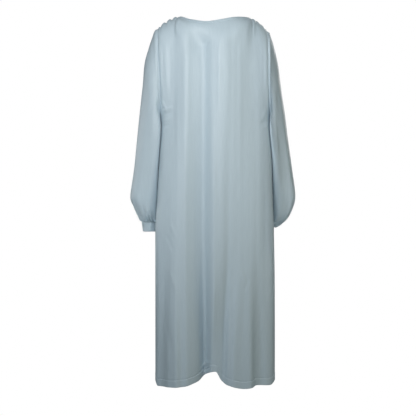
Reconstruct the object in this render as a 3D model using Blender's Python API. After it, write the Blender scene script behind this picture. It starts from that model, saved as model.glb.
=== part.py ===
"""A satin prayer dress, filled out as if worn, modelled piece by piece as it is cut and sewn.

Metres, +Z up. The origin is between the two neck points, at the height where the
shoulders carry the dress. The back panel faces -Y, the front panel faces +Y, and
the wearer's left is -X. The shoulder seams and the side seams lie in the plane Y = 0.
Heights are written as drops: how far a place hangs below the origin.
"""

import math
from collections import namedtuple

import bmesh
import bpy
import numpy as np

# Cloth and seams
CLOTH = 0.0012
DOUBLED_CLOTH = 0.0022
SEAM_GAP = 0.0003

# Neck, shoulders and armholes
NECK_HALF_WIDTH = 0.133
NECK_REACH_BACK = 0.083
NECK_REACH_FRONT = 0.098
NECK_SHARE = 0.62
BINDING_HEIGHT = 0.009
BINDING_PROUD = 0.0005
SHOULDER_TIP_LEFT = 0.042
SHOULDER_TIP_RIGHT = 0.050
SHOULDER_CURVE = 1.6
UNDERARM_DROP = 0.385
YOKE_DROP = 0.12
ARMHOLE_BACK = 0.062
ARMHOLE_FRONT = 0.068
CENTRE_SLOPE = math.radians(70)
NECK_POINT_SLOPE = math.radians(20)
SHOULDER_SLOPE = math.radians(8)
YOKE_ROUNDNESS = 1.2
TANGENT_STEP = 0.01

# Shoulder gathers
GATHERS_PER_SHOULDER = 3.5
GATHER_HEIGHT = 0.0028
GATHER_LENGTH = 0.40
GATHER_FADE_AT_NECK = 0.10
GATHER_FADE_AT_TIP = 0.15

# How square a body section is: 1 is an ellipse, less is flatter across the back
FLATNESS = 0.6

# Share of a panel beside each seam over which its folds fade out
SEAM_CALM = 0.12

# Hem
HEM_DROP = 1.320
HEM_SHAPED_FROM = 0.90

# Cuffs
CUFF_HEIGHT = 0.036
CUFF_TAPER = 0.90
CUFF_GATHERS = 15
CUFF_GATHER_UNEVENNESS = 0.35

SLEEVE_BODY_CLEARANCE = 0.004

# A sleeve's sections are ovals at the armhole and the cuff and squarer than that between them
SLEEVE_SQUARENESS = 0.7
ROUND_END_RINGS = 3

# The sleeve ring from which its columns are spaced evenly, free of the armhole's own spacing
EVEN_RING = 6

# Faces of the grids
NECK_COLUMNS = 20
SHOULDER_COLUMNS = 12
YOKE_ROWS = 4
SLEEVE_COLUMNS_PER_ROW = 3
CUFF_COLUMNS = 36
ROW_DROPS = (
    0.12, 0.165, 0.21, 0.26, 0.31, 0.355, 0.385,
    0.43, 0.50, 0.58, 0.67, 0.77, 0.88, 0.99, 1.09, 1.18, 1.26, 1.32,
)
ARMHOLE_ROWS = YOKE_ROWS + ROW_DROPS.index(UNDERARM_DROP)

Girth = namedtuple("Girth", "drop left right back front")
GIRTHS = (
    Girth(drop=0.042, left=0.206, right=0.190, back=0.080, front=0.088),
    Girth(drop=0.120, left=0.204, right=0.193, back=0.100, front=0.108),
    Girth(drop=0.200, left=0.198, right=0.194, back=0.108, front=0.118),
    Girth(drop=0.300, left=0.194, right=0.196, back=0.112, front=0.124),
    Girth(drop=0.385, left=0.194, right=0.200, back=0.114, front=0.124),
    Girth(drop=0.480, left=0.198, right=0.206, back=0.116, front=0.122),
    Girth(drop=0.660, left=0.207, right=0.2105, back=0.120, front=0.122),
    Girth(drop=0.780, left=0.214, right=0.215, back=0.122, front=0.124),
    Girth(drop=1.000, left=0.214, right=0.218, back=0.125, front=0.126),
    Girth(drop=1.320, left=0.214, right=0.218, back=0.128, front=0.128),
)

Neck = namedtuple("Neck", "across back front")
NECKLINE = (
    Neck(across=-1.00, back=0.0025, front=0.0025),
    Neck(across=-0.66, back=0.0225, front=0.0500),
    Neck(across=-0.20, back=0.0335, front=0.0940),
    Neck(across=0.20, back=0.0260, front=0.0950),
    Neck(across=0.52, back=0.0165, front=0.0680),
    Neck(across=0.80, back=0.0110, front=0.0330),
    Neck(across=1.00, back=0.0075, front=0.0075),
)

Hem = namedtuple("Hem", "x drop")
BACK_HEM = (
    Hem(x=-0.214, drop=1.312),
    Hem(x=-0.203, drop=1.330),
    Hem(x=-0.157, drop=1.328),
    Hem(x=-0.110, drop=1.324),
    Hem(x=-0.066, drop=1.308),
    Hem(x=-0.045, drop=1.289),
    Hem(x=0.004, drop=1.273),
    Hem(x=0.023, drop=1.300),
    Hem(x=0.044, drop=1.319),
    Hem(x=0.107, drop=1.333),
    Hem(x=0.140, drop=1.330),
    Hem(x=0.165, drop=1.324),
    Hem(x=0.203, drop=1.326),
    Hem(x=0.218, drop=1.310),
)
FRONT_HEM = (
    Hem(x=-0.214, drop=1.312),
    Hem(x=-0.150, drop=1.302),
    Hem(x=-0.060, drop=1.296),
    Hem(x=0.050, drop=1.299),
    Hem(x=0.140, drop=1.296),
    Hem(x=0.218, drop=1.310),
)

# A fold's centre is given at the chest, hip and hem; its depth is outward at the same three
Fold = namedtuple("Fold", "chest hip hem half_width depth_chest depth_hip depth_hem")
FOLD_CHEST_DROP = 0.15
FOLD_HIP_DROP = 0.75
BACK_FOLDS = (
    Fold(-0.160, -0.155, -0.160, 0.050, -0.010, -0.002, 0.006),
    Fold(-0.115, -0.140, -0.130, 0.050, 0.001, 0.008, 0.018),
    Fold(-0.055, -0.055, -0.040, 0.050, -0.020, -0.028, -0.042),
    Fold(0.015, 0.015, -0.010, 0.045, 0.009, 0.007, 0.003),
    Fold(0.045, 0.060, 0.025, 0.060, 0.010, 0.000, -0.024),
    Fold(0.090, 0.090, 0.050, 0.035, 0.000, -0.001, 0.010),
    Fold(0.150, 0.160, 0.170, 0.050, -0.012, -0.010, -0.022),
)
FRONT_FOLDS = (
    Fold(-0.120, -0.132, -0.140, 0.040, -0.003, -0.008, -0.013),
    Fold(-0.066, -0.074, -0.080, 0.038, 0.003, 0.006, 0.010),
    Fold(-0.012, -0.016, -0.022, 0.046, -0.003, -0.010, -0.020),
    Fold(0.050, 0.046, 0.042, 0.034, 0.003, 0.006, 0.009),
    Fold(0.098, 0.104, 0.108, 0.040, -0.004, -0.010, -0.016),
    Fold(0.152, 0.158, 0.160, 0.030, 0.002, 0.004, 0.006),
)

# Each sleeve section runs from its outer point, over the arm, to its inner point by the body.
# Its turn is how far the outer point lies forward of its middle, and the inner point behind it.
Ring = namedtuple("Ring", "outer_drop outer inner_drop inner forward half_depth turn gather")
LEFT_RINGS = (
    Ring(0.0475, 0.2145, 0.3905, 0.1962, 0.000, 0.066, 0.000, 0.0),
    Ring(0.070, 0.2245, 0.397, 0.1970, 0.002, 0.068, 0.002, 0.0),
    Ring(0.110, 0.2390, 0.408, 0.1975, 0.005, 0.070, 0.005, 0.0),
    Ring(0.170, 0.2545, 0.425, 0.1985, 0.011, 0.072, 0.010, 0.0),
    Ring(0.250, 0.2625, 0.450, 0.1995, 0.021, 0.077, 0.016, 0.0),
    Ring(0.345, 0.2733, 0.485, 0.2010, 0.034, 0.083, 0.020, 0.0),
    Ring(0.450, 0.2850, 0.535, 0.2035, 0.050, 0.090, 0.020, 0.0),
    Ring(0.550, 0.2957, 0.595, 0.2065, 0.065, 0.095, 0.016, 0.0),
    Ring(0.650, 0.3096, 0.655, 0.2095, 0.080, 0.0975, 0.012, 0.0015),
    Ring(0.690, 0.2951, 0.697, 0.2115, 0.086, 0.090, 0.008, 0.0035),
    Ring(0.722, 0.2800, 0.724, 0.2110, 0.089, 0.072, 0.004, 0.0045),
    Ring(0.7437, 0.2680, 0.7437, 0.2070, 0.090, 0.045, 0.000, 0.0025),
)
RIGHT_RINGS = (
    Ring(0.0565, 0.1990, 0.3905, 0.2022, 0.000, 0.066, 0.000, 0.0),
    Ring(0.075, 0.2055, 0.397, 0.2030, 0.002, 0.068, 0.004, 0.0),
    Ring(0.105, 0.2160, 0.408, 0.2038, 0.005, 0.070, 0.010, 0.0),
    Ring(0.160, 0.2305, 0.425, 0.2050, 0.012, 0.073, 0.018, 0.0),
    Ring(0.235, 0.2408, 0.450, 0.2068, 0.022, 0.078, 0.025, 0.0),
    Ring(0.335, 0.2563, 0.485, 0.2088, 0.036, 0.085, 0.028, 0.0),
    Ring(0.440, 0.2703, 0.535, 0.2102, 0.053, 0.092, 0.025, 0.0),
    Ring(0.550, 0.2864, 0.595, 0.2118, 0.068, 0.098, 0.020, 0.0),
    Ring(0.650, 0.2990, 0.655, 0.2132, 0.084, 0.100, 0.014, 0.0015),
    Ring(0.702, 0.2865, 0.702, 0.2165, 0.098, 0.094, 0.010, 0.0035),
    Ring(0.738, 0.2645, 0.738, 0.2070, 0.116, 0.080, 0.006, 0.0045),
    Ring(0.753, 0.2465, 0.753, 0.1890, 0.130, 0.064, 0.003, 0.0040),
    Ring(0.764, 0.2230, 0.764, 0.1625, 0.140, 0.045, 0.000, 0.0025),
)

Face = namedtuple("Face", "name sign armhole neck_reach folds hem")
BACK = Face("back", -1, ARMHOLE_BACK, NECK_REACH_BACK, BACK_FOLDS, BACK_HEM)
FRONT = Face("front", 1, ARMHOLE_FRONT, NECK_REACH_FRONT, FRONT_FOLDS, FRONT_HEM)

Side = namedtuple("Side", "name sign tip_drop rings")
LEFT = Side("left", -1, SHOULDER_TIP_LEFT, LEFT_RINGS)
RIGHT = Side("right", 1, SHOULDER_TIP_RIGHT, RIGHT_RINGS)

SATIN_COLOUR = (0.510, 0.615, 0.680, 1.0)
SATIN_ROUGHNESS = 0.42
SHARP_ANGLE = math.radians(50)
WELD_DISTANCE = 1e-6


def read_table(table, key, column, at):
    """Value of a column at a place between the rows, along a smooth curve that never overshoots."""
    x = [getattr(row, key) for row in table]
    y = [getattr(row, column) for row in table]
    if at <= x[0]:
        return y[0]
    if at >= x[-1]:
        return y[-1]
    steps = [(y[i + 1] - y[i]) / (x[i + 1] - x[i]) for i in range(len(x) - 1)]
    slopes = [steps[0]]
    for before, after in zip(steps, steps[1:]):
        slopes.append(2 * before * after / (before + after) if before * after > 0 else 0.0)
    slopes.append(steps[-1])
    i = max(n for n in range(len(x) - 1) if x[n] <= at)
    span = x[i + 1] - x[i]
    t = (at - x[i]) / span
    return (
        (1 + 2 * t) * (1 - t) ** 2 * y[i]
        + t * (1 - t) ** 2 * span * slopes[i]
        + t * t * (3 - 2 * t) * y[i + 1]
        + t * t * (t - 1) * span * slopes[i + 1]
    )


def ease(t):
    """0 below 0, 1 above 1, and a soft S between."""
    t = min(max(t, 0.0), 1.0)
    return t * t * (3 - 2 * t)


def bell(t):
    """A soft rise from 0 at -1 to 1 at 0 and back to 0 at 1."""
    return 0.5 * (1 + math.cos(math.pi * t)) if abs(t) < 1 else 0.0


def squared(value, power):
    """A sine or cosine raised to a power, which makes the oval that it draws squarer."""
    return math.copysign(abs(value) ** power, value)


def three_heights(drop, chest, hip, hem):
    """A value that moves from chest to hip to hem."""
    if drop < FOLD_HIP_DROP:
        return chest + (hip - chest) * ease((drop - FOLD_CHEST_DROP) / (FOLD_HIP_DROP - FOLD_CHEST_DROP))
    return hip + (hem - hip) * ease((drop - FOLD_HIP_DROP) / (HEM_DROP - FOLD_HIP_DROP))


def side_of(across):
    return LEFT if across < 0 else RIGHT


def armhole_reach(face, side, drop):
    """How far the armhole's edge lies from the plane of the seams at a drop; 0 below the underarm."""
    middle = (side.tip_drop + UNDERARM_DROP) / 2
    half_height = (UNDERARM_DROP - side.tip_drop) / 2
    level = (drop - middle) / half_height
    return face.armhole * math.sqrt(max(0.0, 1 - level * level)) if abs(level) < 1 else 0.0


def fold_height(face, x, drop):
    """Sum of the panel's folds at one place, outward."""
    total = 0.0
    for fold in face.folds:
        centre = three_heights(drop, fold.chest, fold.hip, fold.hem)
        depth = three_heights(drop, fold.depth_chest, fold.depth_hip, fold.depth_hem)
        total += depth * bell((x - centre) / fold.half_width)
    return total


def body_point(face, across, drop):
    """Point of a panel below the yoke; across runs from -1 at the left seam to 1 at the right."""
    side = side_of(across)
    width = read_table(GIRTHS, "drop", side.name, drop)
    depth = read_table(GIRTHS, "drop", face.name, drop)
    reach = armhole_reach(face, side, drop)
    edge_angle = math.acos((reach / depth) ** (1 / FLATNESS))
    angle = abs(across) * edge_angle
    x = side.sign * width * math.sin(angle) / math.sin(edge_angle)
    y = depth * max(0.0, math.cos(angle)) ** FLATNESS
    height = fold_height(face, x, drop) * ease((1 - abs(across)) / SEAM_CALM)
    outward = np.array((side.sign * math.sin(angle), face.sign * math.cos(angle), 0.0))
    hem_shift = read_table(face.hem, "x", "drop", x) - HEM_DROP
    shift = hem_shift * ease((drop - HEM_SHAPED_FROM) / (HEM_DROP - HEM_SHAPED_FROM))
    return np.array((x, face.sign * (y + SEAM_GAP / 2), -drop - shift)) + outward * height


def top_edge(face, across):
    """Point where a panel begins: on the neck seam, or on the shoulder seam outside the neck."""
    side = side_of(across)
    if abs(across) <= NECK_SHARE:
        turn = across / NECK_SHARE * math.pi / 2
        x = NECK_HALF_WIDTH * math.sin(turn)
        y = face.neck_reach * max(0.0, math.cos(turn))
        drop = read_table(NECKLINE, "across", face.name, math.sin(turn))
    else:
        along = (abs(across) - NECK_SHARE) / (1 - NECK_SHARE)
        tip = read_table(GIRTHS, "drop", side.name, side.tip_drop)
        neck_drop = read_table(NECKLINE, "across", face.name, side.sign)
        x = side.sign * (NECK_HALF_WIDTH + (tip - NECK_HALF_WIDTH) * along)
        y = 0.0
        drop = neck_drop + (side.tip_drop - neck_drop) * along ** SHOULDER_CURVE
    return np.array((x, face.sign * (y + SEAM_GAP / 2), -drop))


def shoulder_gather(across, down):
    """Height of the small gathers by the shoulder seam; down runs from 0 at the seam to 1 at the yoke."""
    along = (abs(across) - NECK_SHARE) / (1 - NECK_SHARE)
    if along <= 0 or down >= GATHER_LENGTH:
        return 0.0
    wave = -math.cos(2 * math.pi * GATHERS_PER_SHOULDER * along)
    fade = ease(along / GATHER_FADE_AT_NECK) * ease((1 - along) / GATHER_FADE_AT_TIP)
    return GATHER_HEIGHT * wave * fade * bell(down / GATHER_LENGTH)


def yoke_point(face, across, down):
    """Point between the top edge and the yoke line, on a curve that leaves both smoothly."""
    top = top_edge(face, across)
    low = body_point(face, across, YOKE_DROP)
    below = body_point(face, across, YOKE_DROP + TANGENT_STEP)
    length = np.linalg.norm(low - top)
    slope = CENTRE_SLOPE + (SHOULDER_SLOPE - CENTRE_SLOPE) * ease(abs(across) / NECK_SHARE)
    leaving = np.array((0.0, face.sign * math.cos(slope), -math.sin(slope))) * length * YOKE_ROUNDNESS
    arriving = (below - low) / np.linalg.norm(below - low) * length
    t = down
    point = (
        (1 + 2 * t) * (1 - t) ** 2 * top
        + t * (1 - t) ** 2 * leaving
        + t * t * (3 - 2 * t) * low
        + t * t * (t - 1) * arriving
    )
    return point + np.array((0.0, 0.0, shoulder_gather(across, down)))


def panel_columns():
    """Places across a panel, closer together on the shoulders where the gathers are."""
    neck = np.linspace(-NECK_SHARE, NECK_SHARE, NECK_COLUMNS + 1)
    shoulder = np.linspace(NECK_SHARE, 1.0, SHOULDER_COLUMNS + 1)[1:]
    return np.concatenate((-shoulder[::-1], neck, shoulder))


def panel_points(face):
    """The panel's outer surface as rows of points, from its top edge to its hem."""
    rows = []
    for row in range(YOKE_ROWS):
        rows.append([yoke_point(face, across, row / YOKE_ROWS) for across in panel_columns()])
    for drop in ROW_DROPS:
        rows.append([body_point(face, across, drop) for across in panel_columns()])
    return np.array(rows)


def outward_normals(points, closed, inside):
    """Unit normals of a grid of points, turned away from the points inside (one for each row)."""
    down = np.gradient(points, axis=0)
    if closed:
        along = np.roll(points, -1, axis=1) - np.roll(points, 1, axis=1)
    else:
        along = np.gradient(points, axis=1)
    normals = np.cross(down, along)
    normals = unit(normals)
    if (normals * (points - inside[:, None, :])).sum() < 0:
        normals = -normals
    return normals


def unit(vectors):
    return vectors / np.linalg.norm(vectors, axis=-1, keepdims=True)


def satin(name):
    material = bpy.data.materials.new(name + "_satin")
    material.use_nodes = True
    shader = material.node_tree.nodes["Principled BSDF"]
    shader.inputs["Base Color"].default_value = SATIN_COLOUR
    shader.inputs["Roughness"].default_value = SATIN_ROUGHNESS
    shader.inputs["Metallic"].default_value = 0.0
    return material


def cloth_piece(name, points, normals, thickness, closed):
    """A wall of cloth: the grid of outer points, extruded inwards along the normals."""
    rows, columns = points.shape[:2]
    steps = columns if closed else columns - 1
    bm = bmesh.new()
    inward = bm.verts.layers.float_vector.new("inward")
    bmesh.ops.create_grid(bm, x_segments=steps, y_segments=rows - 1, size=1.0)
    for vertex in bm.verts:
        column = round((vertex.co.x + 1) / 2 * steps) % columns
        row = round((vertex.co.y + 1) / 2 * (rows - 1))
        vertex.co = points[row, column]
        vertex[inward] = -thickness * normals[row, column]
    if closed:
        bmesh.ops.remove_doubles(bm, verts=bm.verts[:], dist=WELD_DISTANCE)
    made = bmesh.ops.extrude_face_region(bm, geom=bm.faces[:], use_keep_orig=True)
    for item in made["geom"]:
        if isinstance(item, bmesh.types.BMVert):
            item.co += item[inward]
    bm.verts.layers.float_vector.remove(inward)
    bmesh.ops.recalc_face_normals(bm, faces=bm.faces[:])
    mesh = bpy.data.meshes.new(name)
    bm.to_mesh(mesh)
    bm.free()
    mesh.shade_smooth()
    mesh.set_sharp_from_angle(angle=SHARP_ANGLE)
    mesh.materials.append(satin(name))
    piece = bpy.data.objects.new(name, mesh)
    bpy.context.scene.collection.objects.link(piece)
    return piece


def panel_normals(points):
    """A panel's normals, square to the seams so that the two panels meet edge to edge."""
    inside = np.array([(0.0, 0.0, row[:, 2].mean()) for row in points])
    normals = outward_normals(points, False, inside)
    normals[0, : SHOULDER_COLUMNS + 1, 1] = 0.0
    normals[0, -SHOULDER_COLUMNS - 1 :, 1] = 0.0
    normals[ARMHOLE_ROWS:, (0, -1), 1] = 0.0
    return unit(normals)


def make_panel(face):
    points = panel_points(face)
    cloth_piece(face.name + "_panel", points, panel_normals(points), CLOTH, False)


def neck_ring():
    """Places round the neck seam, back then front, the panels' normals there and the binding's rise."""
    seam = []
    normals = []
    rise = []
    for face in (BACK, FRONT):
        order = 1 if face is BACK else -1
        columns = panel_columns()[SHOULDER_COLUMNS : -SHOULDER_COLUMNS][::order]
        edge = panel_normals(panel_points(face))[0, SHOULDER_COLUMNS : -SHOULDER_COLUMNS][::order]
        for across, normal in zip(columns[:-1], edge[:-1]):
            turn = across / NECK_SHARE * math.pi / 2
            level = np.array((-math.sin(turn), -face.sign * math.cos(turn), 0.0))
            slope = CENTRE_SLOPE + (NECK_POINT_SLOPE - CENTRE_SLOPE) * ease(abs(across) / NECK_SHARE)
            seam.append(top_edge(face, across))
            normals.append(normal)
            rise.append(level * math.cos(slope) + np.array((0.0, 0.0, math.sin(slope))))
    return np.array(seam), np.array(normals), np.array(rise)


def make_neck_binding():
    """A narrow bias strip, folded over the neck edge all round."""
    seam, seam_normals, rise = neck_ring()
    levels = np.linspace(SEAM_GAP + BINDING_PROUD / 3, BINDING_HEIGHT, 3)
    points = np.array([seam + rise * level for level in levels])
    inside = np.array([(0.0, 0.0, -UNDERARM_DROP)] * len(points))
    normals = outward_normals(points, True, inside)
    normals[0] = seam_normals
    cloth_piece("neck_binding", points + normals * BINDING_PROUD, normals, DOUBLED_CLOTH, True)


def armhole_loop(side):
    """The armhole's edge from the shoulder tip down the back and up the front, as the panels have it."""
    column = 0 if side is LEFT else -1
    back = panel_points(BACK)[: ARMHOLE_ROWS + 1, column]
    front = panel_points(FRONT)[: ARMHOLE_ROWS + 1, column]
    corners = np.concatenate((back, front[::-1][1:-1], back[:1]))
    loop = []
    for start, end in zip(corners, corners[1:]):
        for step in range(SLEEVE_COLUMNS_PER_ROW):
            loop.append(start + (end - start) * step / SLEEVE_COLUMNS_PER_ROW)
    return np.array(loop)


def keep_off_body(side, point):
    """Move a sleeve's point out, away from the body's side, where it would come too close."""
    drop = -point[2]
    if drop < UNDERARM_DROP:
        return point
    face = BACK if point[1] < 0 else FRONT
    width = read_table(GIRTHS, "drop", side.name, drop) + SLEEVE_BODY_CLEARANCE
    depth = read_table(GIRTHS, "drop", face.name, drop) + 2 * SLEEVE_BODY_CLEARANCE
    level = min(abs(point[1]) / depth, 1.0) ** (1 / FLATNESS)
    body_side = width * math.sqrt(1 - level * level)
    point[0] = side.sign * max(abs(point[0]), body_side)
    return point


def sleeve_points(side):
    """The sleeve's outer surface: rings from the armhole to the cuff."""
    loop = armhole_loop(side)
    count = len(loop)
    middle = (side.tip_drop + UNDERARM_DROP) / 2
    half_height = (UNDERARM_DROP - side.tip_drop) / 2
    cosines = np.clip((middle + loop[:, 2]) / half_height, -1, 1)
    even = np.arange(count) * 2 * math.pi / count
    own = np.where(even <= math.pi, np.arccos(cosines), 2 * math.pi - np.arccos(cosines))
    start = loop.copy()
    start[:, 0] += side.sign * SEAM_GAP
    rings = [start]
    for number, ring in enumerate(side.rings):
        blend = ease(number / EVEN_RING)
        to_end = (len(side.rings) - 1 - number) / ROUND_END_RINGS
        power = 1 + (SLEEVE_SQUARENESS - 1) * blend * ease(to_end)
        angles = own * (1 - blend) + even * blend
        outer = np.array((side.sign * ring.outer, ring.forward + ring.turn, -ring.outer_drop))
        inner = np.array((side.sign * ring.inner, ring.forward - ring.turn, -ring.inner_drop))
        centre = (outer + inner) / 2
        row = []
        for angle in angles:
            unevenness = 1 + CUFF_GATHER_UNEVENNESS * math.sin(3 * angle + side.sign)
            wave = math.cos(CUFF_GATHERS * angle) * unevenness
            swell = 1 + ring.gather * wave / np.linalg.norm(outer - centre)
            arm = (outer - centre) * squared(math.cos(angle), power)
            depth = np.array((0.0, -ring.half_depth * squared(math.sin(angle), power), 0.0))
            row.append(keep_off_body(side, centre + (arm + depth) * swell))
        rings.append(np.array(row))
    return np.array(rings)


def make_sleeve(side):
    """A sleeve, its lower edge square to the top of the cuff."""
    points = sleeve_points(side)
    normals = outward_normals(points, True, points.mean(axis=1))
    normals[-1, :, 2] = 0.0
    cloth_piece(side.name + "_sleeve", points, unit(normals), CLOTH, True)


def make_cuff(side):
    """A doubled band just below the gathers, narrowing a little to the wrist."""
    last = side.rings[-1]
    centre = (last.outer + last.inner) / 2
    half_width = (last.outer - last.inner) / 2
    angles = np.arange(CUFF_COLUMNS) * 2 * math.pi / CUFF_COLUMNS
    rows = []
    for down, narrowing in ((SEAM_GAP, 1.0), (CUFF_HEIGHT, CUFF_TAPER)):
        x = side.sign * (centre + half_width * narrowing * np.cos(angles))
        y = last.forward + last.half_depth * narrowing * np.sin(angles)
        z = np.full(CUFF_COLUMNS, -last.outer_drop - down)
        rows.append(np.stack((x, y, z), axis=1))
    points = np.array(rows)
    normals = outward_normals(points, True, points.mean(axis=1))
    normals[:, :, 2] = 0.0
    cloth_piece(side.name + "_cuff", points, unit(normals), DOUBLED_CLOTH, True)


def clear_scene():
    for thing in list(bpy.data.objects):
        bpy.data.objects.remove(thing, do_unlink=True)


def main():
    clear_scene()
    make_panel(BACK)
    make_panel(FRONT)
    make_neck_binding()
    for side in (LEFT, RIGHT):
        make_sleeve(side)
        make_cuff(side)


main()
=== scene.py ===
# %% [markdown]
# # A satin prayer dress, filled out as if worn
#
# A prayer dress is cut from wide lengths of thin satin: a back, a front, two full
# sleeves gathered into cuffs, and a bias strip round the neck. This lesson makes each
# of those pieces as a thin shell, on the forms that the solid model already has.
# It works in metres, with +Z up, the back of the dress facing -Y, and the wearer's
# left at -X. Heights are "drops": how far a place hangs below the neck points. The
# tables that `measures` reads are in millimetres, as a dressmaker would note them, and
# those that `table` reads are in metres.

# %% Load the solid model, the fixed frame of everything below
import math
from collections import namedtuple

import bmesh
import bpy
import numpy as np
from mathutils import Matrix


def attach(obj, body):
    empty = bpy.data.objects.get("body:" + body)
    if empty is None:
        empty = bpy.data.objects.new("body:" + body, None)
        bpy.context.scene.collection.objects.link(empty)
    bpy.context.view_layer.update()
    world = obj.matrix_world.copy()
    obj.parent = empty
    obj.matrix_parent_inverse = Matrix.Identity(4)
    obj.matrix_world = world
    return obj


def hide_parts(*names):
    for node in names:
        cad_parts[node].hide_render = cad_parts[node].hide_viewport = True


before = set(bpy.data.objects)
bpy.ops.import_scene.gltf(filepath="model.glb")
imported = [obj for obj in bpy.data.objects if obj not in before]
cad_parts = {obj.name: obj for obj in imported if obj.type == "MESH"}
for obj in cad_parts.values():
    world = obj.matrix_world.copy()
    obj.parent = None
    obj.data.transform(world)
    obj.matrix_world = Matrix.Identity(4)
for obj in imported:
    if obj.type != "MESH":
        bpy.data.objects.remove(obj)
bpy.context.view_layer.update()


def show(name, data):
    """Puts an object with this data into the scene."""
    made = bpy.data.objects.new(name, data)
    bpy.context.scene.collection.objects.link(made)
    return made


# %% [markdown]
# ## The camera first
#
# The picture was taken level with the middle of the dress, from far enough away that
# both sides of the hem are seen alike. The camera could be placed by eye, but a known
# distance and a known width of view fix the lens exactly, and then any place in the
# picture can be turned into a place on the dress.

# %% Place the camera
CAMERA_DISTANCE = 4.5
VIEW_WIDTH = 1.510
VIEW_CENTRE_X = -0.0236
VIEW_CENTRE_DROP = 0.693
SENSOR_WIDTH_MM = 36.0

camera_data = bpy.data.cameras.new("camera")
camera_data.sensor_width = SENSOR_WIDTH_MM
camera_data.lens = SENSOR_WIDTH_MM * CAMERA_DISTANCE / VIEW_WIDTH
camera = show("camera", camera_data)
camera.location = (VIEW_CENTRE_X, -CAMERA_DISTANCE, -VIEW_CENTRE_DROP)
camera.rotation_euler = (math.radians(90), 0, 0)
bpy.context.scene.camera = camera
print("lens:", round(camera_data.lens, 1), "mm")

# %% [markdown]
# ## Soft curves
#
# A dressmaker draws a hem or a neckline through a few measured marks with a bendy
# ruler. Straight lines between the marks would leave corners, and an ordinary smooth
# curve can swing past them. This one is smooth and stays between its marks.
# `ease` is a soft step and `bell` a soft bump: every fold below is made of them.

# %% Curves through a few marks
def hermite(t, start, leaving, end, arriving):
    """A smooth way from start to end as t runs from 0 to 1, with its slope given at both."""
    return (
        (1 + 2 * t) * (1 - t) ** 2 * start
        + t * (1 - t) ** 2 * leaving
        + t * t * (3 - 2 * t) * end
        + t * t * (t - 1) * arriving
    )


def curve(at, value):
    """A smooth curve through marks, which never swings past them."""
    at = np.array(at, float)
    value = np.array(value, float)
    step = np.diff(value) / np.diff(at)
    slope = np.concatenate((step[:1], np.zeros(len(step) - 1), step[-1:]))
    for i in range(1, len(step)):
        if step[i - 1] * step[i] > 0:
            slope[i] = 2 * step[i - 1] * step[i] / (step[i - 1] + step[i])

    def read(x):
        x = np.clip(x, at[0], at[-1])
        i = np.clip(np.searchsorted(at, x, side="right") - 1, 0, len(at) - 2)
        span = at[i + 1] - at[i]
        return hermite((x - at[i]) / span, value[i], span * slope[i], value[i + 1], span * slope[i + 1])

    return read


def table(kind, rows):
    """A table's rows, each of them with the names of its kind for its numbers."""
    return [kind(*row) for row in rows]


def measures(kind, rows):
    """The same for rows that are written in millimetres and used in metres."""
    return [kind(*(number / 1000 for number in row)) for row in rows]


def column(rows, key, name):
    """The curve through one column of a table."""
    return curve([getattr(row, key) for row in rows], [getattr(row, name) for row in rows])


def ease(t):
    """0 below 0, 1 above 1, and a soft S between."""
    t = np.clip(t, 0.0, 1.0)
    return t * t * (3 - 2 * t)


def bell(t):
    """A soft bump: 0 at -1, 1 at 0, and 0 again at 1."""
    return 0.5 * (1 + np.cos(np.pi * np.clip(t, -1.0, 1.0)))


def unit(vectors):
    """The same ways, each one metre long."""
    return vectors / np.maximum(np.linalg.norm(vectors, axis=-1, keepdims=True), 1e-12)


print("a bump half way down its side:", float(bell(0.5)))

# %% [markdown]
# ## The cut of the body
#
# These are the dress's own measures: how wide and how deep the body stands at a few
# drops, the neckline, and the two hems. The panels meet in the plane Y = 0.

# %% Girths, neckline and hems
NECK_HALF_WIDTH = 0.133
NECK_REACH = {"back": 0.083, "front": 0.098}
NECK_SHARE = 0.62
TIP_DROP = {"left": 0.042, "right": 0.050}
SHOULDER_CURVE = 1.6
UNDERARM_DROP = 0.385
YOKE_DROP = 0.12
TANGENT_STEP = 0.01
ARMHOLE = {"back": 0.062, "front": 0.068}
CENTRE_SLOPE = math.radians(62)
NECK_POINT_SLOPE = math.radians(20)
SHOULDER_SLOPE = math.radians(8)
YOKE_ROUNDNESS = 1.2
FLATNESS = 0.6
HEM_DROP = 1.320
HEM_SHAPED_FROM = 0.90

Girth = namedtuple("Girth", "drop left right back front")
GIRTHS = measures(Girth, (
    (42, 206, 190, 80, 88),
    (120, 204, 193, 100, 108),
    (200, 198, 194, 108, 118),
    (300, 194, 196, 112, 124),
    (385, 194, 200, 114, 124),
    (480, 198, 206, 116, 122),
    (660, 207, 210.5, 120, 122),
    (780, 214, 215, 122, 124),
    (1000, 214, 218, 125, 126),
    (1320, 214, 218, 128, 128),
))
GIRTH = {name: column(GIRTHS, "drop", name) for name in ("left", "right", "back", "front")}

Neck = namedtuple("Neck", "across back front")
NECKLINE = table(Neck, (
    (-1.00, 0.0025, 0.0025),
    (-0.66, 0.0225, 0.0500),
    (-0.20, 0.0335, 0.0940),
    (0.20, 0.0260, 0.0950),
    (0.52, 0.0165, 0.0680),
    (0.80, 0.0110, 0.0330),
    (1.00, 0.0075, 0.0075),
))
NECK_DROP = {name: column(NECKLINE, "across", name) for name in ("back", "front")}

Hem = namedtuple("Hem", "x drop")
BACK_HEM = measures(Hem, (
    (-214, 1312), (-203, 1330), (-157, 1328), (-110, 1324), (-66, 1308),
    (-45, 1289), (4, 1273), (23, 1300), (44, 1319), (107, 1333),
    (140, 1330), (165, 1324), (203, 1326), (218, 1310),
))
FRONT_HEM = measures(Hem, (
    (-214, 1312), (-150, 1302), (-60, 1296), (50, 1299), (140, 1296),
    (218, 1310),
))
HEM = {"back": column(BACK_HEM, "x", "drop"), "front": column(FRONT_HEM, "x", "drop")}
OUT = {"back": -1, "front": 1}
SIGN = {"left": -1, "right": 1}
DRESS_MIDDLE = np.array((0.0, 0.0, -0.5))


def by_side(across, values):
    """The value for the left where across is negative, and the one for the right elsewhere."""
    return np.where(across < 0, values["left"], values["right"])


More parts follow.
